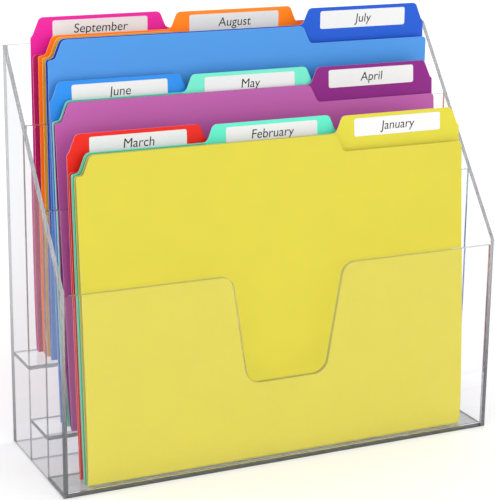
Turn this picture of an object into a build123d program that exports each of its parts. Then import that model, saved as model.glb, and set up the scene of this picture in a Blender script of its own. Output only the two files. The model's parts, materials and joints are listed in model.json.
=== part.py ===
from build123d import *
import os
from dataclasses import dataclass
from math import atan2, degrees, hypot, sin

# Desktop file sorter: nine clear acrylic sheets make three stepped tiers, and each
# tier holds three letter folders with a tab and a stuck-on label.
# Frame: origin at the centre of the footprint on the desk, +Z up, front towards -Y.
# Millimetres throughout.

# Sorter, driving dimensions
SHEET = 3.0  # acrylic thickness
HEIGHT = 295.0  # side and back panels at the back
SIDE_FRONT_HEIGHT = 148.0  # side panels at the front edge
FRONT_PANEL_HEIGHT = 144.0  # top edge of the front panel above the desk
FRONT_TIER_DEPTH = 31.0  # clear depth of each tier
MIDDLE_TIER_DEPTH = 36.0
REAR_TIER_DEPTH = 34.0
MIDDLE_SHELF_TOP = 32.0  # top faces above the desk
REAR_SHELF_TOP = 71.0
SIDE_ROOM = 16.75  # from a folder's edge to the side panel
EDGE_EASE = 0.3  # polished chamfer on every sheet edge
CEMENT = 0.05  # cement line between a sheet's edge and the face it is bonded to
NOTCH_DEPTH = 80.5  # finger notch in the front panel
NOTCH_TOP_WIDTH = 87.0
NOTCH_BOTTOM_WIDTH = 61.0
NOTCH_LIP_RADIUS = 10.0
NOTCH_CORNER_RADIUS = 11.0

# Folders, driving dimensions: one folded card each, two leaves that open upwards
FOLDER_WIDTH = 298.5
CARD = 0.4  # card thickness
TAB_TOP = 242.0  # heights above the fold
BASE_LEVEL = 230.0  # back leaf beside its tab, front leaf beside its dip
DIP_LEVEL = 217.0  # front leaf in front of the tab, and both leaves at the ends
TAB_PITCH = 97.5  # from one tab position to the next
TAB_TOP_WIDTH = 90.0
TAB_FOOT_WIDTH = 100.0
DIP_TOP_WIDTH = 104.0
DIP_FOOT_WIDTH = 92.0
END_STEP = 5.2  # low stretch at a leaf's end, before it rises to the base level
END_RISE = 5.4  # width of that rise
TAB_RADIUS = 4.0
SHOULDER_RADIUS = 4.5
FOLD_WIDTH = 1.2  # between the leaves at a plain fold
FOLD_CLEARANCE = 0.15  # under a folder, so that it never presses into its shelf
LABEL_WIDTH = 71.0
LABEL_HEIGHT = 13.0
LABEL_THICKNESS = 0.15
LABEL_DROP = 2.7  # from the tab's top edge to the label
LABEL_RADIUS = 1.5
FOLDER_CLEARANCE = 0.35  # least room between a folder and the sheets of its tier
LIFT_OVER = 5.0  # how far a lifted folder clears the sheet in front of its tier


@dataclass
class Folder:
    month: str
    tab: int  # -1 left, 0 centre, 1 right
    foot: float  # where its fold stands: 0 against the sheet in front, 1 against the one behind
    head: float  # where it passes the top edge of the sheet behind, counted the same way
    opening: float  # between its leaves, at the base level
    fold: float = FOLD_WIDTH
    across: float = 0.0  # how far it has been pushed to the right
    forward: float = 0.0  # drawn this far forward of its own lean while it is lifted out


# Front to back in each tier
FRONT_FOLDERS = [
    Folder("january", 1, foot=0.117, head=0.585, opening=3.5),
    Folder("february", 0, foot=0.344, head=0.818, opening=3.2),
    Folder("march", -1, foot=0.561, head=1.0, opening=2.8, across=-1.0),
]
MIDDLE_FOLDERS = [
    Folder("april", 1, foot=0.044, head=0.737, opening=1.8, forward=4.9),
    Folder("may", 0, foot=0.321, head=0.842, opening=1.6),
    Folder("june", -1, foot=0.567, head=0.983, opening=1.6, forward=-0.75),
]
REAR_FOLDERS = [
    Folder("july", 1, foot=0.147, head=0.131, opening=5.0, across=2.0, forward=-5.0),
    Folder("august", 0, foot=0.534, head=0.64, opening=9.5, fold=9.5, across=2.0),
    Folder("september", -1, foot=0.839, head=0.956, opening=4.5, fold=4.0, across=-1.0, forward=1.5),
]

# Sizes that follow
CLEAR_WIDTH = FOLDER_WIDTH + 2 * SIDE_ROOM
SHEET_WIDTH = CLEAR_WIDTH - 2 * CEMENT  # of the sheets between the side panels
DEPTH = FRONT_TIER_DEPTH + MIDDLE_TIER_DEPTH + REAR_TIER_DEPTH + 4 * SHEET
FRONT = -DEPTH / 2
FRONT_TIER = FRONT + SHEET  # front face of each tier's clear space
FRONT_DIVIDER = FRONT_TIER + FRONT_TIER_DEPTH
MIDDLE_TIER = FRONT_DIVIDER + SHEET
REAR_DIVIDER = MIDDLE_TIER + MIDDLE_TIER_DEPTH
REAR_TIER = REAR_DIVIDER + SHEET
BACK_PANEL = REAR_TIER + REAR_TIER_DEPTH


def side_top(y):
    """Height of the side panels' sloping top edge at y."""
    return SIDE_FRONT_HEIGHT + (HEIGHT - SIDE_FRONT_HEIGHT) * (y - FRONT) / DEPTH


FRONT_DIVIDER_TOP = side_top(FRONT_DIVIDER + SHEET / 2)
REAR_DIVIDER_TOP = side_top(REAR_DIVIDER + SHEET / 2)


def rounded_face(corners):
    """Flat face through (x, z, radius) corners, each rounded by its radius."""
    face = make_face(Polyline(*[(x, z) for x, z, _ in corners], close=True))
    for x, z, radius in corners:
        if radius:
            corner = face.vertices().sort_by_distance((x, z))[0]
            face = fillet(corner, radius)
    return face


def save(name, shape):
    shape.label = name
    export_step(shape, f"parts/{name}.step")


# Acrylic sheets


def eased(sheet):
    return chamfer(sheet.edges(), EDGE_EASE)


def side_panel(inner_x):
    outline = [(FRONT, 0), (-FRONT, 0), (-FRONT, HEIGHT), (FRONT, SIDE_FRONT_HEIGHT)]
    face = make_face(Polyline(*outline, close=True))
    return eased(extrude(Plane.YZ.offset(inner_x) * face, SHEET))


def upright(front_y, bottom, top):
    """Sheet between the side panels, standing on edge."""
    place = Pos(0, front_y + SHEET / 2, (bottom + top) / 2)
    return eased(place * Box(SHEET_WIDTH, SHEET, top - bottom))


def shelf(front_y, back_y, top):
    place = Pos(0, (front_y + back_y) / 2, top - SHEET / 2)
    return eased(place * Box(SHEET_WIDTH, back_y - front_y, SHEET))


def front_panel():
    """Low front sheet on the floor's front edge, with the finger notch in its top."""
    half, top, notch_bottom = SHEET_WIDTH / 2, FRONT_PANEL_HEIGHT, FRONT_PANEL_HEIGHT - NOTCH_DEPTH
    bottom = SHEET + CEMENT
    lip, corner = NOTCH_TOP_WIDTH / 2, NOTCH_BOTTOM_WIDTH / 2
    outline = [
        (-half, bottom, 0),
        (half, bottom, 0),
        (half, top, 0),
        (lip, top, NOTCH_LIP_RADIUS),
        (corner, notch_bottom, NOTCH_CORNER_RADIUS),
        (-corner, notch_bottom, NOTCH_CORNER_RADIUS),
        (-lip, top, NOTCH_LIP_RADIUS),
        (-half, top, 0),
    ]
    face = Plane.XZ.offset(-FRONT) * rounded_face(outline)
    return eased(extrude(face, -SHEET))


# Folders, made upright about their fold and then leaned back


def end_corners(level):
    """Left end of a leaf's top edge: a low step, then the rise to the base level."""
    end = -FOLDER_WIDTH / 2
    return [
        (end, level - 1, 1.5),
        (end + END_STEP, level, 3.0),
        (end + END_STEP + END_RISE, BASE_LEVEL, SHOULDER_RADIUS),
    ]


def mirrored(corners):
    return [(-x, z, radius) for x, z, radius in reversed(corners)]


def back_outline(tab):
    """Back leaf, with its tab in the left, centre or right third."""
    half, centre = FOLDER_WIDTH / 2, tab * TAB_PITCH
    foot, top = TAB_FOOT_WIDTH / 2, TAB_TOP_WIDTH / 2
    tab_end = [(-half, BASE_LEVEL - 2, 1.5)]
    return [
        (-half, 0, 0),
        *(tab_end if tab == -1 else end_corners(DIP_LEVEL)),
        (centre - foot, BASE_LEVEL, 1.5 if tab == -1 else SHOULDER_RADIUS),
        (centre - top, TAB_TOP, TAB_RADIUS),
        (centre + top, TAB_TOP, TAB_RADIUS),
        (centre + foot, BASE_LEVEL, 1.5 if tab == 1 else SHOULDER_RADIUS),
        *mirrored(tab_end if tab == 1 else end_corners(DIP_LEVEL)),
        (half, 0, 0),
    ]


def front_outline(tab):
    """Front leaf, which dips where the tab stands behind it."""
    half, centre = FOLDER_WIDTH / 2, tab * TAB_PITCH
    high, low = DIP_TOP_WIDTH / 2, DIP_FOOT_WIDTH / 2
    dip_end = [(-half, DIP_LEVEL, 3.0)]
    dip_left = [(centre - high, BASE_LEVEL, SHOULDER_RADIUS), (centre - low, DIP_LEVEL, SHOULDER_RADIUS)]
    dip_right = [(centre + low, DIP_LEVEL, SHOULDER_RADIUS), (centre + high, BASE_LEVEL, SHOULDER_RADIUS)]
    return [
        (-half, 0, 0),
        *(dip_end if tab == -1 else end_corners(DIP_LEVEL) + dip_left),
        *(mirrored(dip_end) if tab == 1 else dip_right + mirrored(end_corners(DIP_LEVEL))),
        (half, 0, 0),
    ]


def spread_per_height(paper):
    """How far each leaf moves away from upright for each millimetre of height."""
    return (paper.opening - paper.fold) / 2 / BASE_LEVEL


def leaf(paper, side, outline):
    """Half of a folder: half of the fold's strip and one leaf, on side -1 or 1 in Y."""
    spread = spread_per_height(paper) * TAB_TOP
    fold = paper.fold / 2
    section = [
        (0, 0),
        (side * (fold + CARD / 2), 0),
        (side * (fold + CARD / 2 + spread), TAB_TOP),
        (side * (fold - CARD / 2 + spread), TAB_TOP),
        (side * (fold - CARD / 2), CARD),
        (0, CARD),
    ]
    strip = extrude(Plane.YZ * make_face(Polyline(*section, close=True)), FOLDER_WIDTH / 2, both=True)
    return strip & extrude(Plane.XZ * rounded_face(outline), DEPTH, both=True)


def folded_card(paper):
    return leaf(paper, -1, front_outline(paper.tab)) + leaf(paper, 1, back_outline(paper.tab))


def label(paper):
    """Sticker on the front face of the tab."""
    height = TAB_TOP - LABEL_DROP - LABEL_HEIGHT / 2
    slope = spread_per_height(paper) * TAB_TOP / (TAB_TOP - CARD)
    face_y = (paper.fold - CARD) / 2 + slope * (height - CARD)
    facing = Plane((paper.tab * TAB_PITCH, face_y, height), x_dir=(1, 0, 0), z_dir=(0, -1, slope))
    sticker = RectangleRounded(LABEL_WIDTH, LABEL_HEIGHT, LABEL_RADIUS)
    return extrude(facing * sticker, LABEL_THICKNESS)


def standing_y(share, tier_front, tier_back, thickness):
    """Middle of something that thick, at a share of the room between two sheets."""
    room = thickness / 2 + FOLDER_CLEARANCE
    return tier_front + room + share * (tier_back - tier_front - 2 * room)


def place_folders(folders, tier_front, tier_depth, shelf_top, wall_top, front_wall_top):
    """For each folder of a tier: it, its place, and the way and the length it lifts out."""
    tier_back = tier_front + tier_depth
    reach = min(wall_top - shelf_top, TAB_TOP)
    lift = front_wall_top + LIFT_OVER - shelf_top
    placed = []
    behind = None  # front of the folder behind, at the height of the tabs
    for paper in reversed(folders):
        foot = standing_y(paper.foot, tier_front, tier_back, paper.fold + CARD)
        head_width = paper.fold + 2 * spread_per_height(paper) * reach
        head = standing_y(paper.head, tier_front, tier_back, head_width + CARD)
        top = foot + (head - foot) / reach * TAB_TOP
        half_top = (paper.fold + CARD) / 2 + spread_per_height(paper) * TAB_TOP
        if behind is not None:
            top = min(top, behind - half_top - FOLDER_CLEARANCE)
        behind = top - half_top
        lean = atan2(top - foot, TAB_TOP)
        dip = (paper.fold + CARD) / 2 * sin(lean)  # of the fold's edge, when it leans
        place = Pos(paper.across, foot, shelf_top + FOLD_CLEARANCE + dip) * Rot(X=-degrees(lean))
        back_shift = lift * (top - foot) / TAB_TOP - paper.forward
        travel = hypot(back_shift, lift)
        slide = (0, back_shift / travel, lift / travel)
        placed.append((paper, place, slide, travel))
    return placed[::-1]


FRONT_TIER_WALLS = (FRONT_DIVIDER_TOP, FRONT_PANEL_HEIGHT)  # behind and in front
MIDDLE_TIER_WALLS = (REAR_DIVIDER_TOP, FRONT_DIVIDER_TOP)
REAR_TIER_WALLS = (HEIGHT, REAR_DIVIDER_TOP)
PLACED_FOLDERS = [
    *place_folders(FRONT_FOLDERS, FRONT_TIER, FRONT_TIER_DEPTH, SHEET, *FRONT_TIER_WALLS),
    *place_folders(MIDDLE_FOLDERS, MIDDLE_TIER, MIDDLE_TIER_DEPTH, MIDDLE_SHELF_TOP, *MIDDLE_TIER_WALLS),
    *place_folders(REAR_FOLDERS, REAR_TIER, REAR_TIER_DEPTH, REAR_SHELF_TOP, *REAR_TIER_WALLS),
]

os.makedirs("parts", exist_ok=True)

save("left_side_panel", side_panel(-CLEAR_WIDTH / 2 - SHEET))
save("right_side_panel", side_panel(CLEAR_WIDTH / 2))
save("back_panel", upright(BACK_PANEL, 0, HEIGHT))
save("rear_divider", upright(REAR_DIVIDER, 0, REAR_DIVIDER_TOP))
save("front_divider", upright(FRONT_DIVIDER, 0, FRONT_DIVIDER_TOP))
save("front_panel", front_panel())
save("front_tier_floor", shelf(FRONT, FRONT_DIVIDER - CEMENT, SHEET))
save("middle_tier_shelf", shelf(MIDDLE_TIER + CEMENT, REAR_DIVIDER - CEMENT, MIDDLE_SHELF_TOP))
save("rear_tier_shelf", shelf(REAR_TIER + CEMENT, BACK_PANEL - CEMENT, REAR_SHELF_TOP))

for paper, place, slide, travel in PLACED_FOLDERS:
    save(f"{paper.month}_folder", place * folded_card(paper))
    save(f"{paper.month}_label", place * label(paper))
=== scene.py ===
"""Desktop file sorter: clear acrylic sheets in three stepped tiers, holding tabbed card folders."""

import json
import math

import bmesh
import bpy
from bpy.props import FloatProperty, FloatVectorProperty, PointerProperty
from mathutils import Matrix, Vector


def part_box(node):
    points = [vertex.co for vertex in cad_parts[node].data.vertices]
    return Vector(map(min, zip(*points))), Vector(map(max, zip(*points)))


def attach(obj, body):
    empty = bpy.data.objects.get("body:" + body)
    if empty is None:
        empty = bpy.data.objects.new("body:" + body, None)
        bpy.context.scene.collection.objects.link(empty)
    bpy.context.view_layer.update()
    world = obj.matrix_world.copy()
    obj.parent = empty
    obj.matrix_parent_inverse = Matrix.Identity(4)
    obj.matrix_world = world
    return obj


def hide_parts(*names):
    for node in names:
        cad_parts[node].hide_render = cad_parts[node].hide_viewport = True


bl_info = {
    "name": "Desktop File Sorter",
    "version": (1, 0, 0),
    "blender": (4, 5, 0),
    "location": "View3D > Sidebar > File Sorter",
    "description": "Clear acrylic file sorter with tabbed card folders and a studio stage",
    "category": "Object",
}

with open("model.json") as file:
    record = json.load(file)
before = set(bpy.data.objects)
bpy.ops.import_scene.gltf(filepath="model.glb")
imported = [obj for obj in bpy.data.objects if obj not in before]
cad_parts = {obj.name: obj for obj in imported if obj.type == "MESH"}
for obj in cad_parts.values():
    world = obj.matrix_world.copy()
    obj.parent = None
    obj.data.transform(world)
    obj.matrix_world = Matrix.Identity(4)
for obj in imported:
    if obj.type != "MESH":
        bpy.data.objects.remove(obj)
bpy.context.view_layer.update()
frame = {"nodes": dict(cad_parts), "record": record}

MM = 0.001
SENSOR_MM = 36.0

SORTER_SHEETS = frame["record"]["behaviour"]["bodies"]["sorter"]

# Folder: month, tab (-1 left, 0 centre, 1 right), then in millimetres how far it is pushed
# to the right, the fold's place in Y and Z, how far back the tab's top edge is from the
# fold, the gap between the leaves at the shoulder, and the width of the fold.
FOLDERS = (
    ("january", 1, 0.0, -48.99, 3.21, 16.80, 3.5, 1.2),
    ("february", 0, 0.0, -42.48, 3.20, 16.55, 3.2, 1.2),
    ("march", -1, -1.0, -36.25, 3.20, 15.11, 2.8, 1.2),
    ("april", 1, 0.0, -16.87, 32.24, 26.39, 1.8, 1.2),
    ("may", 0, 0.0, -7.53, 32.22, 19.81, 1.6, 1.2),
    ("june", -1, 0.0, 0.76, 32.20, 15.73, 1.6, 1.2),
    ("july", 1, 2.0, 25.31, 71.15, 0.93, 5.0, 1.2),
    ("august", 0, 2.0, 37.30, 71.20, 2.68, 9.5, 9.5),
    ("september", -1, -1.0, 46.30, 71.18, 3.41, 4.5, 4.0),
)

# How far the front and back leaf of each folder belly backwards, in millimetres
BOWS = {
    "january": (-3.0, 0.6),
    "february": (0.0, 0.8),
    "march": (-1.5, 0.3),
    "april": (0.0, 5.5),
    "may": (1.5, 1.5),
    "june": (0.0, 0.0),
    "july": (-0.6, 1.5),
    "august": (3.5, 1.6),
    "september": (1.6, 2.4),
}

# Card colours: the outside of the leaves, and their inside with the tab
CARD_COLOURS = {
    "january": ("#C3B83A", "#C7BD36"),
    "february": ("#2AB488", "#5AD7B8"),
    "march": ("#C00C08", "#D81D0E"),
    "april": ("#AB549B", "#7F1777"),
    "may": ("#38BC98", "#6CD6BA"),
    "june": ("#1C74D4", "#2282D7"),
    "july": ("#4488CD", "#1450BC"),
    "august": ("#EAA41C", "#FF8010"),
    "september": ("#AA1557", "#D81C94"),
}

# The die-cut card, in millimetres from the fold
CARD_HALF_WIDTH = 149.25
TAB_TOP = 242.0
SHOULDER = 230.0
DIP = 217.0
TAB_PITCH = 97.5
TAB_HALF_TOP = 45
TAB_HALF_FOOT = 50
DIP_HALF_FOOT = 46
DIP_HALF_TOP = 52
END_STEP = 5.2
END_RISE = 5.4
END_DROP = 1  # from the low step to the card's outer corner
OUTER_DROP = 2  # from an outer tab's shoulder to the card's outer corner
CORNER_RADIUS = 1.5
END_RADIUS = 3.0
TAB_RADIUS = 4.0
SHOULDER_RADIUS = 4.5
LABEL_MIDDLE = 232.8

# Where a flat card is divided, so that it can bend: up each leaf, close rows at the fold
# and even ones above it, and across
CARD_ROWS = [step * 8.0 for step in range(31)] + [1.0, 2.0, 4.0, 12.0]
CARD_COLUMNS = [step * 24.0 for step in range(-6, 7)]
LABEL_COLUMNS = [step * 12.0 for step in range(-2, 3)]

FOLD_CLEAR = 0.0002  # metres a leaf keeps above the fold
RIPPLE_SCALE = 9.0  # a ripple about every 110 mm
SHARP_ANGLE = 40.0
TEXT_SLANT = 0.12

FLOOR_HALF_SIZE = 40.0
CAMERA_REACH = (0.05, 120.0)

# Clear sheets behind clear sheets need many bounces
CYCLES = {
    "max_bounces": 64,
    "transmission_bounces": 64,
    "glossy_bounces": 64,
    "transparent_max_bounces": 16,
    "sample_clamp_indirect": 6.0,
    "blur_glossy": 0.0,
}


def linear(hex_colour):
    """sRGB hex to linear RGBA."""
    channels = [int(hex_colour[i : i + 2], 16) / 255 for i in (1, 3, 5)]
    return [c / 12.92 if c <= 0.04045 else ((c + 0.055) / 1.055) ** 2.4 for c in channels] + [1.0]


def repeats(size_mm):
    """Scale of a pattern whose features are that many millimetres apart."""
    return 1 / (size_mm * MM)


def add_node(tree, kind, values=None, **settings):
    """One node of a tree, with its settings, and its inputs set or linked by name or number."""
    made = tree.nodes.new(kind)
    for name, value in settings.items():
        setattr(made, name, value)
    for key, value in (values or {}).items():
        if isinstance(value, bpy.types.NodeSocket):
            tree.links.new(value, made.inputs[key])
        else:
            made.inputs[key].default_value = value
    return made


def new_material(name):
    material = bpy.data.materials.new(name)
    material.use_nodes = True
    material.node_tree.nodes.clear()
    return material, material.node_tree


# Materials


def clear_acrylic(name, thin_axis, settings):
    """Cast acrylic sheet, edges sawn and polished: clear broad faces, and cut edges with a painted grey
    shade, darker towards the desk.

    thin_axis is X, Y or Z, the way through the sheet: faces turned any other way are edges.
    """
    material, tree = new_material(name)
    coordinates = add_node(tree, "ShaderNodeTexCoord").outputs
    place = coordinates["Object"]
    facing = add_node(tree, "ShaderNodeSeparateXYZ", {0: coordinates["Normal"]}).outputs[thin_axis]
    facing = add_node(tree, "ShaderNodeMath", {0: facing}, operation="ABSOLUTE").outputs[0]
    turned = add_node(tree, "ShaderNodeMath", {0: facing, 1: 0.95}, operation="LESS_THAN")
    is_edge = turned.outputs[0]

    # Handling leaves a barely visible haze on the faces, in smears of 26 mm. The saw leaves
    # fine lines on the edges, drawn 2.4 mm apart as finer ones wouldn't show
    handling = add_node(
        tree, "ShaderNodeTexNoise", {"Vector": place, "Scale": repeats(26.3), "Detail": 3.0}
    )
    haze = add_node(
        tree,
        "ShaderNodeMapRange",
        {
            "Value": handling.outputs["Fac"],
            "From Min": 0.55,
            "From Max": 0.8,
            "To Min": 0.0,
            "To Max": 0.02,
        },
    )
    sawing = add_node(
        tree, "ShaderNodeTexNoise", {"Vector": place, "Scale": repeats(2.38), "Detail": 2.0}
    )
    satin = add_node(
        tree,
        "ShaderNodeMapRange",
        {
            "Value": sawing.outputs["Fac"],
            "From Min": 0.3,
            "From Max": 0.7,
            "To Min": settings.edge_roughness * 0.8,
            "To Max": settings.edge_roughness * 1.2,
        },
    )
    roughness = add_node(
        tree,
        "ShaderNodeMix",
        {"Factor": is_edge, 2: haze.outputs["Result"], 3: satin.outputs["Result"]},
        data_type="FLOAT",
    )
    clearness = add_node(
        tree,
        "ShaderNodeMix",
        {"Factor": is_edge, 2: 1.0, 3: 1.0 - settings.edge_frost},
        data_type="FLOAT",
    )
    # Painted shade: the cut edges are coloured grey in place of the light they gather from the sheet, darker
    # towards the desk, where they gather less
    level = add_node(tree, "ShaderNodeSeparateXYZ", {0: place}).outputs["Z"]
    painted_edge_light = add_node(
        tree, "ShaderNodeMapRange", {"Value": level, "From Min": 0.0, "From Max": settings.painted_edge_shade_height}
    )
    edge = add_node(
        tree,
        "ShaderNodeMix",
        {"Factor": painted_edge_light.outputs["Result"], 6: linear("#585A5C"), 7: linear("#AEB0B2")},
        data_type="RGBA",
    )
    # The broad faces stay near white; the cut edges take the painted grey shade
    tint = add_node(
        tree,
        "ShaderNodeMix",
        {"Factor": is_edge, 6: linear("#FEFEFF"), 7: edge.outputs[2]},
        data_type="RGBA",
    )
    # Casting leaves a slow wave, 70 mm from crest to crest
    casting = add_node(
        tree, "ShaderNodeTexNoise", {"Vector": place, "Scale": repeats(71.4), "Detail": 1.0}
    )
    wave = add_node(
        tree,
        "ShaderNodeBump",
        {"Height": casting.outputs["Fac"], "Strength": 0.03, "Distance": 0.0004},
    )
    surface = add_node(
        tree,
        "ShaderNodeBsdfPrincipled",
        {
            "Base Color": tint.outputs[2],
            "Roughness": roughness.outputs[0],
            "IOR": settings.ior,
            "Transmission Weight": clearness.outputs[0],
            "Normal": wave.outputs["Normal"],
        },
    )
    add_node(tree, "ShaderNodeOutputMaterial", {"Surface": surface.outputs["BSDF"]})
    return material


def folder_card(month, settings):
    """Calendered coloured card: faint fibre clouds, a soft sheen, and cut edges mixed towards white, for the
    card's paler core and a painted highlight.
    """
    material, tree = new_material(f"{month}_card")
    outside, inside = (linear(colour) for colour in CARD_COLOURS[month])
    place = add_node(tree, "ShaderNodeTexCoord").outputs["Object"]
    is_outside = add_node(tree, "ShaderNodeAttribute", attribute_name="outside").outputs["Fac"]
    is_cut = add_node(tree, "ShaderNodeAttribute", attribute_name="cut_edge").outputs["Fac"]
    faces = add_node(
        tree,
        "ShaderNodeMix",
        {"Factor": is_outside, 6: inside, 7: outside},
        data_type="RGBA",
    )
    # The cut edges are mixed towards white: partly the card's paler core, partly a painted highlight along
    # the edges
    pale = add_node(
        tree,
        "ShaderNodeMix",
        {"Factor": settings.edge_core_and_highlight, 6: faces.outputs[2], 7: (1.0, 1.0, 1.0, 1.0)},
        data_type="RGBA",
    )
    edged = add_node(
        tree,
        "ShaderNodeMix",
        {"Factor": is_cut, 6: faces.outputs[2], 7: pale.outputs[2]},
        data_type="RGBA",
    )
    # Fibre clouds are 22 mm across
    clouds = add_node(
        tree, "ShaderNodeTexNoise", {"Vector": place, "Scale": repeats(22.2), "Detail": 4.0}
    )
    shade = add_node(
        tree,
        "ShaderNodeMapRange",
        {
            "Value": clouds.outputs["Fac"],
            "From Min": 0.3,
            "From Max": 0.7,
            "To Min": 0.985,
            "To Max": 1.015,
        },
    )
    colour = add_node(
        tree,
        "ShaderNodeVectorMath",
        {0: edged.outputs[2], "Scale": shade.outputs["Result"]},
        operation="SCALE",
    )
    # Single fibres are finer than this grain, which is as coarse as it needs to be to show
    fibres = add_node(
        tree, "ShaderNodeTexNoise", {"Vector": place, "Scale": repeats(0.625), "Detail": 3.0}
    )
    grain = add_node(
        tree,
        "ShaderNodeBump",
        {"Height": fibres.outputs["Fac"], "Strength": 0.03, "Distance": 0.0001},
    )
    rubbed = add_node(
        tree,
        "ShaderNodeMapRange",
        {
            "Value": clouds.outputs["Fac"],
            "From Min": 0.3,
            "From Max": 0.7,
            "To Min": 0.38,
            "To Max": 0.5,
        },
    )
    surface = add_node(
        tree,
        "ShaderNodeBsdfPrincipled",
        {
            "Base Color": colour.outputs["Vector"],
            "Roughness": rubbed.outputs["Result"],
            "Specular IOR Level": 0.2,
            "Normal": grain.outputs["Normal"],
        },
    )
    add_node(tree, "ShaderNodeOutputMaterial", {"Surface": surface.outputs["BSDF"]})
    return material


def label_paper():
    """Matt white self-adhesive paper with a fine tooth."""
    material, tree = new_material("label_paper")
    place = add_node(tree, "ShaderNodeTexCoord").outputs["Object"]
    # Coarser than real paper fibres, which wouldn't show
    fibres = add_node(
        tree, "ShaderNodeTexNoise", {"Vector": place, "Scale": repeats(1.11), "Detail": 4.0}
    )
    shade = add_node(
        tree,
        "ShaderNodeMix",
        {"Factor": fibres.outputs["Fac"], 6: linear("#D2D2D2"), 7: linear("#DADADA")},
        data_type="RGBA",
    )
    tooth = add_node(
        tree,
        "ShaderNodeBump",
        {"Height": fibres.outputs["Fac"], "Strength": 0.15, "Distance": 0.0001},
    )
    surface = add_node(
        tree,
        "ShaderNodeBsdfPrincipled",
        {"Base Color": shade.outputs[2], "Roughness": 0.7, "Normal": tooth.outputs["Normal"]},
    )
    add_node(tree, "ShaderNodeOutputMaterial", {"Surface": surface.outputs["BSDF"]})
    return material


def printed_ink():
    """Toner ink: near black, a little smoother than the paper and never quite even."""
    material, tree = new_material("printed_ink")
    place = add_node(tree, "ShaderNodeTexCoord").outputs["Object"]
    # Coarser than real toner grains, which wouldn't show
    specks = add_node(
        tree, "ShaderNodeTexNoise", {"Vector": place, "Scale": repeats(0.417), "Detail": 2.0}
    )
    shade = add_node(
        tree,
        "ShaderNodeMix",
        {"Factor": specks.outputs["Fac"], 6: linear("#040405"), 7: linear("#0A0A0B")},
        data_type="RGBA",
    )
    surface = add_node(
        tree,
        "ShaderNodeBsdfPrincipled",
        {"Base Color": shade.outputs[2], "Roughness": 0.6, "Specular IOR Level": 0.2},
    )
    add_node(tree, "ShaderNodeOutputMaterial", {"Surface": surface.outputs["BSDF"]})
    return material


def pale_floor():
    """Plain pale studio floor, matt paint with a barely visible mottle."""
    material, tree = new_material("pale_floor")
    place = add_node(tree, "ShaderNodeTexCoord").outputs["Object"]
    # The roller's patches are a third of a metre across
    mottle = add_node(
        tree, "ShaderNodeTexNoise", {"Vector": place, "Scale": repeats(333.0), "Detail": 2.0}
    )
    shade = add_node(
        tree,
        "ShaderNodeMix",
        {"Factor": mottle.outputs["Fac"], 6: linear("#F3F3F3"), 7: linear("#F5F5F5")},
        data_type="RGBA",
    )
    surface = add_node(
        tree,
        "ShaderNodeBsdfPrincipled",
        {"Base Color": shade.outputs[2], "Roughness": 0.8, "Specular IOR Level": 0.1},
    )
    add_node(tree, "ShaderNodeOutputMaterial", {"Surface": surface.outputs["BSDF"]})
    return material


# Card blanks, cut flat and then folded


def rounded(corners, steps=5):
    """Outline through (x, y, radius) corners, with each corner rounded."""
    points = []
    count = len(corners)
    for i, (x, y, radius) in enumerate(corners):
        here = Vector((x, y))
        if not radius:
            points.append(here)
            continue
        before = (Vector(corners[i - 1][:2]) - here).normalized()
        after = (Vector(corners[(i + 1) % count][:2]) - here).normalized()
        angle = before.angle(after)
        reach = radius / math.tan(angle / 2)
        centre = here + (before + after).normalized() * radius / math.sin(angle / 2)
        start, end = here + before * reach - centre, here + after * reach - centre
        turn = start.angle_signed(end)
        for step in range(steps + 1):
            spin = Matrix.Rotation(-turn * step / steps, 2)
            points.append(centre + spin @ start)
    return points


def end_corners():
    """Left end of a leaf's top edge: a low step, then the rise to the shoulder."""
    end = -CARD_HALF_WIDTH
    return [
        (end, DIP - END_DROP, CORNER_RADIUS),
        (end + END_STEP, DIP, END_RADIUS),
        (end + END_STEP + END_RISE, SHOULDER, SHOULDER_RADIUS),
    ]


def mirrored(corners):
    return [(-x, y, radius) for x, y, radius in reversed(corners)]


def back_top(tab):
    """Top edge of the back leaf with its tab, left to right."""
    centre = tab * TAB_PITCH
    outer = [(-CARD_HALF_WIDTH, SHOULDER - OUTER_DROP, CORNER_RADIUS)]
    return [
        *(outer if tab == -1 else end_corners()),
        (centre - TAB_HALF_FOOT, SHOULDER, CORNER_RADIUS if tab == -1 else SHOULDER_RADIUS),
        (centre - TAB_HALF_TOP, TAB_TOP, TAB_RADIUS),
        (centre + TAB_HALF_TOP, TAB_TOP, TAB_RADIUS),
        (centre + TAB_HALF_FOOT, SHOULDER, CORNER_RADIUS if tab == 1 else SHOULDER_RADIUS),
        *mirrored(outer if tab == 1 else end_corners()),
    ]


def front_top(tab):
    """Top edge of the front leaf, which dips in front of the tab, left to right."""
    centre = tab * TAB_PITCH
    low_end = [(-CARD_HALF_WIDTH, DIP, END_RADIUS)]
    fall = [
        (centre - DIP_HALF_TOP, SHOULDER, SHOULDER_RADIUS),
        (centre - DIP_HALF_FOOT, DIP, SHOULDER_RADIUS),
    ]
    climb = [
        (centre + DIP_HALF_FOOT, DIP, SHOULDER_RADIUS),
        (centre + DIP_HALF_TOP, SHOULDER, SHOULDER_RADIUS),
    ]
    return [
        *(low_end if tab == -1 else end_corners() + fall),
        *(mirrored(low_end) if tab == 1 else climb + mirrored(end_corners())),
    ]


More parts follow.
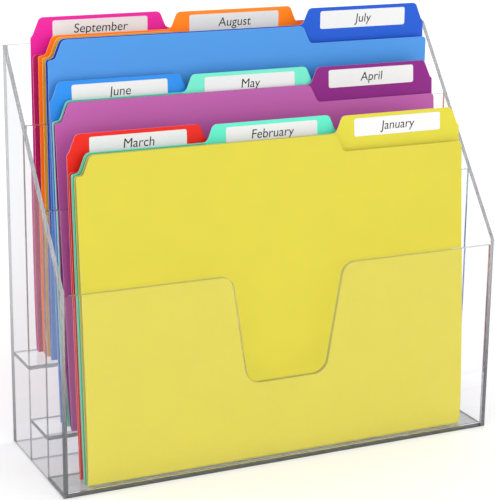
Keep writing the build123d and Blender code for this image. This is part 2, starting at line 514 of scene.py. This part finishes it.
def flat_object(name, outline, across=(), along=()):
    """A flat sheet with that outline, divided at lines across and along it, all in millimetres."""
    cut = bmesh.new()
    sheet = cut.faces.new([cut.verts.new((p.x * MM, p.y * MM, 0)) for p in outline])
    cut.normal_update()
    if sheet.normal.z < 0:
        bmesh.ops.reverse_faces(cut, faces=[sheet])
    lines = [((x * MM, 0, 0), (1, 0, 0)) for x in across]
    lines += [((0, y * MM, 0), (0, 1, 0)) for y in along]
    for point, normal in lines:
        everything = cut.verts[:] + cut.edges[:] + cut.faces[:]
        bmesh.ops.bisect_plane(cut, geom=everything, plane_co=point, plane_no=normal, dist=1e-7)
    bmesh.ops.triangulate(cut, faces=[face for face in cut.faces if len(face.verts) > 4])
    mesh = bpy.data.meshes.new(name)
    cut.to_mesh(mesh)
    cut.free()
    made = bpy.data.objects.new(name, mesh)
    bpy.context.scene.collection.objects.link(made)
    return made


def card_blank(name, tab, fold):
    """The unfolded card: the front leaf below the fold and the back leaf above it."""
    half = fold / 2
    upper = [(x, half + y, radius) for x, y, radius in back_top(tab)]
    lower = [(x, -half - y, radius) for x, y, radius in reversed(front_top(tab))]
    rows = [half + row for row in CARD_ROWS]
    return flat_object(name, rounded(upper + lower), CARD_COLUMNS, rows + [-row for row in rows])


def folding_tree():
    """Geometry Nodes that fold a flat card, label or print: X stays, Y runs round the fold."""
    tree = bpy.data.node_groups.new("fold_card", "GeometryNodeTree")
    face = tree.interface
    face.new_socket("Geometry", in_out="INPUT", socket_type="NodeSocketGeometry")
    for name in (
        "Fold Half Width",
        "Leaf Slope",
        "Inset",
        "Thickness",
        "Front Bow",
        "Back Bow",
        "Card Height",
        "Ripple",
        "Seed",
        "Lean",
    ):
        face.new_socket(name, in_out="INPUT", socket_type="NodeSocketFloat")
    face.new_socket("Fold Place", in_out="INPUT", socket_type="NodeSocketVector")
    face.new_socket("Material", in_out="INPUT", socket_type="NodeSocketMaterial")
    face.new_socket("Geometry", in_out="OUTPUT", socket_type="NodeSocketGeometry")
    given = add_node(tree, "NodeGroupInput").outputs

    place = add_node(tree, "GeometryNodeInputPosition").outputs[0]
    flat = add_node(tree, "ShaderNodeSeparateXYZ", {0: place})
    side = add_node(tree, "ShaderNodeMath", {0: flat.outputs["Y"]}, operation="SIGN").outputs[0]
    run = add_node(tree, "ShaderNodeMath", {0: flat.outputs["Y"]}, operation="ABSOLUTE").outputs[0]
    past = add_node(tree, "ShaderNodeMath", {0: run, 1: given["Fold Half Width"]}, operation="SUBTRACT")
    above = add_node(tree, "ShaderNodeMath", {0: past.outputs[0], 1: 0.0}, operation="MAXIMUM")
    height = above.outputs[0]
    on_leaf = add_node(tree, "ShaderNodeMath", {0: height, 1: 1e-6}, operation="GREATER_THAN")
    strip = add_node(tree, "ShaderNodeMath", {0: run, 1: given["Fold Half Width"]}, operation="MINIMUM")
    spread = add_node(
        tree,
        "ShaderNodeMath",
        {0: height, 1: given["Leaf Slope"], 2: strip.outputs[0]},
        operation="MULTIPLY_ADD",
    )
    inset = add_node(tree, "ShaderNodeMath", {0: on_leaf.outputs[0], 1: given["Inset"]}, operation="MULTIPLY")
    apart = add_node(
        tree, "ShaderNodeMath", {0: spread.outputs[0], 1: inset.outputs[0]}, operation="SUBTRACT"
    )
    sided = add_node(tree, "ShaderNodeMath", {0: apart.outputs[0], 1: side}, operation="MULTIPLY")

    # Each leaf bellies quickly above the fold, comes back towards its top, and ripples
    share = add_node(
        tree, "ShaderNodeMath", {0: height, 1: given["Card Height"]}, operation="DIVIDE"
    )
    quick = add_node(tree, "ShaderNodeMath", {0: share.outputs[0], 1: 0.5}, operation="POWER")
    half_turn = add_node(
        tree, "ShaderNodeMath", {0: quick.outputs[0], 1: math.pi}, operation="MULTIPLY"
    )
    belly = add_node(tree, "ShaderNodeMath", {0: half_turn.outputs[0]}, operation="SINE").outputs[0]
    back = add_node(tree, "ShaderNodeMath", {0: side, 1: 0.0}, operation="GREATER_THAN").outputs[0]
    which = add_node(
        tree,
        "ShaderNodeMix",
        {"Factor": back, 2: given["Front Bow"], 3: given["Back Bow"]},
        data_type="FLOAT",
    )
    bow = add_node(tree, "ShaderNodeMath", {0: belly, 1: which.outputs[0]}, operation="MULTIPLY")
    noise = add_node(
        tree,
        "ShaderNodeTexNoise",
        {"Vector": place, "W": given["Seed"], "Scale": RIPPLE_SCALE, "Detail": 0.0},
        noise_dimensions="4D",
    )
    centred = add_node(tree, "ShaderNodeMath", {0: noise.outputs[0], 1: 0.5}, operation="SUBTRACT")
    wave = add_node(
        tree, "ShaderNodeMath", {0: centred.outputs[0], 1: given["Ripple"]}, operation="MULTIPLY"
    )
    ripple = add_node(tree, "ShaderNodeMath", {0: wave.outputs[0], 1: belly}, operation="MULTIPLY")
    bent = add_node(tree, "ShaderNodeMath", {0: bow.outputs[0], 1: ripple.outputs[0]}, operation="ADD")
    depth = add_node(tree, "ShaderNodeMath", {0: sided.outputs[0], 1: bent.outputs[0]}, operation="ADD")

    least = add_node(tree, "ShaderNodeMath", {0: given["Inset"], 1: FOLD_CLEAR}, operation="ADD")
    up = add_node(tree, "ShaderNodeMath", {0: height, 1: least.outputs[0]}, operation="MAXIMUM")
    folded_place = add_node(
        tree,
        "ShaderNodeCombineXYZ",
        {"X": flat.outputs["X"], "Y": depth.outputs[0], "Z": up.outputs[0]},
    )
    folded = add_node(
        tree,
        "GeometryNodeSetPosition",
        {"Geometry": given["Geometry"], "Position": folded_place.outputs[0]},
    ).outputs[0]

    # The faces so far look into the fold; the thickness goes outwards from them
    outward = add_node(tree, "GeometryNodeFlipFaces", {0: folded}).outputs[0]
    thick = add_node(
        tree,
        "GeometryNodeExtrudeMesh",
        {"Mesh": outward, "Offset Scale": given["Thickness"], "Individual": False},
    )
    outside = add_node(
        tree,
        "GeometryNodeStoreNamedAttribute",
        {"Geometry": thick.outputs["Mesh"], "Name": "outside", "Value": thick.outputs["Top"]},
        domain="FACE",
        data_type="FLOAT",
    ).outputs[0]
    edged = add_node(
        tree,
        "GeometryNodeStoreNamedAttribute",
        {"Geometry": outside, "Name": "cut_edge", "Value": thick.outputs["Side"]},
        domain="FACE",
        data_type="FLOAT",
    ).outputs[0]
    both = add_node(tree, "GeometryNodeJoinGeometry")
    tree.links.new(folded, both.inputs[0])
    tree.links.new(edged, both.inputs[0])
    closed = add_node(
        tree, "GeometryNodeMergeByDistance", {"Geometry": both.outputs[0], "Distance": 1e-6}
    )

    turn = add_node(tree, "ShaderNodeCombineXYZ", {"X": given["Lean"]})
    placed = add_node(
        tree,
        "GeometryNodeTransform",
        {
            "Geometry": closed.outputs[0],
            "Translation": given["Fold Place"],
            "Rotation": turn.outputs[0],
        },
    )
    real = add_node(tree, "GeometryNodeRealizeInstances", {"Geometry": placed.outputs[0]})
    finished = add_node(
        tree,
        "GeometryNodeSetMaterial",
        {"Geometry": real.outputs[0], "Material": given["Material"]},
    )
    add_node(tree, "NodeGroupOutput", {0: finished.outputs[0]})
    return tree


def plain_mesh(flat, tree, sizes, name):
    """Run the tree on the flat object and keep the result as a plain mesh object."""
    modifier = flat.modifiers.new("fold", "NODES")
    modifier.node_group = tree
    items = tree.interface.items_tree
    sockets = {item.name: item.identifier for item in items if item.in_out == "INPUT"}
    for label, value in sizes.items():
        modifier[sockets[label]] = value
    evaluated = flat.evaluated_get(bpy.context.evaluated_depsgraph_get())
    mesh = bpy.data.meshes.new_from_object(evaluated)
    mesh.name = name
    mesh.shade_smooth()
    mesh.set_sharp_from_angle(angle=math.radians(SHARP_ANGLE))
    made = bpy.data.objects.new(name, mesh)
    bpy.context.scene.collection.objects.link(made)
    bpy.data.objects.remove(flat)
    return made


class AcrylicSettings(bpy.types.PropertyGroup):
    ior: FloatProperty(
        name="Refraction",
        description="Index of refraction of the acrylic",
        default=1.25,
        min=1.0,
        max=2.0,
    )
    edge_roughness: FloatProperty(
        name="Edge Roughness", description="Roughness of the cut edges", default=0.05, subtype="FACTOR"
    )
    edge_frost: FloatProperty(
        name="Edge Frost", description="Share of white in the cut edges", default=0.1, subtype="FACTOR"
    )
    # Painted shade: the height at which the grey painted on the cut edges is lightest
    painted_edge_shade_height: FloatProperty(
        name="Edge Fade",
        description="Height above which the cut edges are lightest",
        default=0.11,
        unit="LENGTH",
    )


class CardSettings(bpy.types.PropertyGroup):
    thickness: FloatProperty(
        name="Card Thickness", description="Thickness of the folder card", default=0.0004, unit="LENGTH"
    )
    ripple: FloatProperty(
        name="Ripple", description="How far the leaves are from flat", default=0.0003, unit="LENGTH"
    )
    # Paler cut edges: partly the card's paler core, partly a painted highlight
    edge_core_and_highlight: FloatProperty(
        name="Pale Edges", description="How much paler the cut edges are", default=0.5, subtype="FACTOR"
    )


class LabelSettings(bpy.types.PropertyGroup):
    width: FloatProperty(name="Width", description="Width of a label", default=0.071, unit="LENGTH")
    height: FloatProperty(name="Height", description="Height of a label", default=0.013, unit="LENGTH")
    corner: FloatProperty(
        name="Corner Radius", description="Radius of a label's corners", default=0.0015, unit="LENGTH"
    )
    thickness: FloatProperty(
        name="Thickness", description="Thickness of the label paper", default=0.00015, unit="LENGTH"
    )
    text_size: FloatProperty(
        name="Text Size", description="Size of the month's name", default=0.0092, unit="LENGTH"
    )
    ink: FloatProperty(
        name="Ink", description="Thickness of the ink", default=0.00002, unit="LENGTH"
    )


class StageSettings(bpy.types.PropertyGroup):
    camera_place: FloatVectorProperty(
        name="Camera Place",
        description="Where the camera stands",
        default=(-0.5085, -1.067, 0.4793),
        subtype="TRANSLATION",
        unit="LENGTH",
    )
    camera_turn: FloatVectorProperty(
        name="Camera Turn",
        description="Turn to the right, tilt upwards and roll of the camera",
        default=(0.440, -0.277, 0.012),
        subtype="EULER",
        unit="ROTATION",
    )
    lens: FloatProperty(
        name="Lens",
        description="Focal length on a 36 mm sensor",
        default=121.4,
        subtype="DISTANCE_CAMERA",
    )
    sky: FloatProperty(name="Sky", description="Strength of the studio's soft light", default=1.0)


class SORTER_OT_acrylic(bpy.types.Operator):
    """Give the sorter's sheets their clear acrylic"""

    bl_idname = "sorter.acrylic"
    bl_label = "Acrylic Sheets"

    def execute(self, context):
        settings = context.scene.sorter_acrylic
        sheets = {
            axis: clear_acrylic(f"clear_acrylic_{axis.lower()}", axis, settings) for axis in "XYZ"
        }
        for node in SORTER_SHEETS:
            low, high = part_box(node)
            thin_axis = min(zip(high - low, "XYZ"))[1]
            for slot in frame["nodes"][node].material_slots:
                slot.material = sheets[thin_axis]
        return {"FINISHED"}


def folding_sizes(folder, settings):
    """The folding tree's inputs that a folder, its label and its print share."""
    month, _, across, fold_y, fold_z, lean, opening, fold = folder
    front_bow, back_bow = BOWS[month]
    return {
        "Fold Half Width": fold / 2 * MM,
        "Leaf Slope": (opening - fold) / 2 / SHOULDER,
        "Front Bow": front_bow * MM,
        "Back Bow": back_bow * MM,
        "Card Height": TAB_TOP * MM,
        "Ripple": settings.ripple,
        "Seed": float([entry[0] for entry in FOLDERS].index(month)),
        "Lean": -math.atan2(lean, TAB_TOP),
        "Fold Place": (across * MM, fold_y * MM, fold_z * MM),
    }


class SORTER_OT_folders(bpy.types.Operator):
    """Cut and fold the card folders"""

    bl_idname = "sorter.folders"
    bl_label = "Card Folders"

    def execute(self, context):
        settings = context.scene.sorter_card
        tree = folding_tree()
        for folder in FOLDERS:
            month, tab, fold = folder[0], folder[1], folder[7]
            sizes = folding_sizes(folder, settings)
            sizes["Inset"] = settings.thickness / 2
            sizes["Thickness"] = settings.thickness
            sizes["Material"] = folder_card(month, settings)
            blank = card_blank(f"{month}_blank", tab, fold)
            card = plain_mesh(blank, tree, sizes, f"{month}_card_folder")
            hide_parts(f"{month}_folder")
            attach(card, f"{month}_folder")
        return {"FINISHED"}


def flat_words(month, size, x, y):
    """The month's name as a flat mesh object, centred at x, y in millimetres."""
    words = bpy.data.curves.new(f"{month}_words", "FONT")
    words.body = month.capitalize()
    words.size = size
    words.shear = TEXT_SLANT
    words.align_x = "CENTER"
    words.align_y = "CENTER"
    written = bpy.data.objects.new(f"{month}_words", words)
    bpy.context.scene.collection.objects.link(written)
    evaluated = written.evaluated_get(bpy.context.evaluated_depsgraph_get())
    mesh = bpy.data.meshes.new_from_object(evaluated)
    bpy.data.objects.remove(written)
    mesh.transform(Matrix.Translation((x * MM, y * MM, 0)))
    made = bpy.data.objects.new(f"{month}_words_flat", mesh)
    bpy.context.scene.collection.objects.link(made)
    return made


class SORTER_OT_labels(bpy.types.Operator):
    """Cut the labels, print the months' names and stick them on the tabs"""

    bl_idname = "sorter.labels"
    bl_label = "Labels"

    def execute(self, context):
        settings = context.scene.sorter_label
        card = context.scene.sorter_card
        tree = bpy.data.node_groups["fold_card"]
        paper, ink = label_paper(), printed_ink()
        half_width, half_height = settings.width / MM / 2, settings.height / MM / 2
        for folder in FOLDERS:
            month, tab, fold = folder[0], folder[1], folder[7]
            x, y = tab * TAB_PITCH, fold / 2 + LABEL_MIDDLE
            corners = [
                (x - half_width, y - half_height),
                (x + half_width, y - half_height),
                (x + half_width, y + half_height),
                (x - half_width, y + half_height),
            ]
            outline = rounded([(*corner, settings.corner / MM) for corner in corners])
            columns = [x + column for column in LABEL_COLUMNS]
            flat = flat_object(f"{month}_sticker", outline, columns)
            sizes = folding_sizes(folder, card)
            sizes["Inset"] = card.thickness / 2 + settings.thickness
            sizes["Thickness"] = settings.thickness
            sizes["Material"] = paper
            sticker = plain_mesh(flat, tree, sizes, f"{month}_label_paper")
            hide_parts(f"{month}_label")
            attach(sticker, f"{month}_folder")

            flat = flat_words(month, settings.text_size, x, y)
            sizes["Inset"] = card.thickness / 2 + settings.thickness + settings.ink
            sizes["Thickness"] = settings.ink
            sizes["Material"] = ink
            name = plain_mesh(flat, tree, sizes, f"{month}_name")
            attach(name, f"{month}_folder")
        return {"FINISHED"}


def floor_sheet():
    ground = bmesh.new()
    bmesh.ops.create_grid(ground, x_segments=8, y_segments=8, size=FLOOR_HALF_SIZE)
    mesh = bpy.data.meshes.new("floor")
    ground.to_mesh(mesh)
    ground.free()
    mesh.materials.append(pale_floor())
    floor = bpy.data.objects.new("floor", mesh)
    bpy.context.scene.collection.objects.link(floor)
    return floor


def studio_light(sky):
    """A world of soft light: even above the horizon, brightest in front, dark below."""
    world = bpy.data.worlds.new("studio")
    world.use_nodes = True
    tree = world.node_tree
    tree.nodes.clear()
    direction = add_node(tree, "ShaderNodeTexCoord").outputs["Generated"]
    part = add_node(tree, "ShaderNodeSeparateXYZ", {0: direction})
    above = add_node(
        tree,
        "ShaderNodeMapRange",
        {
            "Value": part.outputs["Z"],
            "From Min": -0.05,
            "From Max": 0.0,
            "To Min": 0.0,
            "To Max": 1.17,
        },
    )
    ahead = add_node(
        tree,
        "ShaderNodeMapRange",
        {
            "Value": part.outputs["Y"],
            "From Min": -0.9,
            "From Max": -0.3,
            "To Min": 2.5,
            "To Max": 0.1,
        },
    )
    brighter = add_node(
        tree,
        "ShaderNodeMath",
        {0: above.outputs["Result"], 1: ahead.outputs["Result"]},
        operation="MAXIMUM",
    )
    strength = add_node(
        tree, "ShaderNodeMath", {0: brighter.outputs[0], 1: sky}, operation="MULTIPLY"
    )
    light = add_node(
        tree,
        "ShaderNodeBackground",
        {"Color": (1.0, 1.0, 1.0, 1.0), "Strength": strength.outputs[0]},
    )
    add_node(tree, "ShaderNodeOutputWorld", {"Surface": light.outputs[0]})
    return world


def camera_axes(yaw, tilt, roll):
    """Turn of a camera that looks along +Y, turned right, tilted upwards and then rolled."""
    ahead = Vector(
        (math.sin(yaw) * math.cos(tilt), math.cos(yaw) * math.cos(tilt), math.sin(tilt))
    )
    level = ahead.cross(Vector((0, 0, 1))).normalized()
    upright = level.cross(ahead)
    right = level * math.cos(roll) + upright * math.sin(roll)
    up = upright * math.cos(roll) - level * math.sin(roll)
    return Matrix((right, up, -ahead)).transposed().to_4x4()


class SORTER_OT_stage(bpy.types.Operator):
    """Set up the floor, the light and the camera"""

    bl_idname = "sorter.stage"
    bl_label = "Stage"

    def execute(self, context):
        settings = context.scene.sorter_stage
        floor = floor_sheet()
        floor.visible_glossy = False
        context.scene.world = studio_light(settings.sky)

        camera = bpy.data.cameras.new("camera")
        camera.lens = settings.lens
        camera.sensor_width = SENSOR_MM
        camera.clip_start, camera.clip_end = CAMERA_REACH
        view = bpy.data.objects.new("camera", camera)
        turn = camera_axes(*settings.camera_turn)
        view.matrix_world = Matrix.Translation(settings.camera_place) @ turn
        context.scene.collection.objects.link(view)
        context.scene.camera = view

        context.scene.view_settings.view_transform = "Standard"
        for name, value in CYCLES.items():
            setattr(context.scene.cycles, name, value)
        return {"FINISHED"}


class SORTER_PT_panel(bpy.types.Panel):
    """File sorter"""

    bl_label = "File Sorter"
    bl_idname = "SORTER_PT_panel"
    bl_space_type = "VIEW_3D"
    bl_region_type = "UI"
    bl_category = "File Sorter"

    def draw(self, context):
        layout = self.layout
        scene = context.scene
        groups = (
            (scene.sorter_acrylic, "sorter.acrylic"),
            (scene.sorter_card, "sorter.folders"),
            (scene.sorter_label, "sorter.labels"),
            (scene.sorter_stage, "sorter.stage"),
        )
        for settings, operator in groups:
            column = layout.column(align=True)
            for name in settings.__annotations__:
                column.prop(settings, name)
            column.operator(operator)


CLASSES = (
    AcrylicSettings,
    CardSettings,
    LabelSettings,
    StageSettings,
    SORTER_OT_acrylic,
    SORTER_OT_folders,
    SORTER_OT_labels,
    SORTER_OT_stage,
    SORTER_PT_panel,
)


def register():
    for each in CLASSES:
        bpy.utils.register_class(each)
    bpy.types.Scene.sorter_acrylic = PointerProperty(type=AcrylicSettings)
    bpy.types.Scene.sorter_card = PointerProperty(type=CardSettings)
    bpy.types.Scene.sorter_label = PointerProperty(type=LabelSettings)
    bpy.types.Scene.sorter_stage = PointerProperty(type=StageSettings)


def unregister():
    del bpy.types.Scene.sorter_acrylic
    del bpy.types.Scene.sorter_card
    del bpy.types.Scene.sorter_label
    del bpy.types.Scene.sorter_stage
    for each in reversed(CLASSES):
        bpy.utils.unregister_class(each)


def main():
    register()
    bpy.ops.sorter.acrylic()
    bpy.ops.sorter.folders()
    bpy.ops.sorter.labels()
    bpy.ops.sorter.stage()


if __name__ == "__main__":
    main()
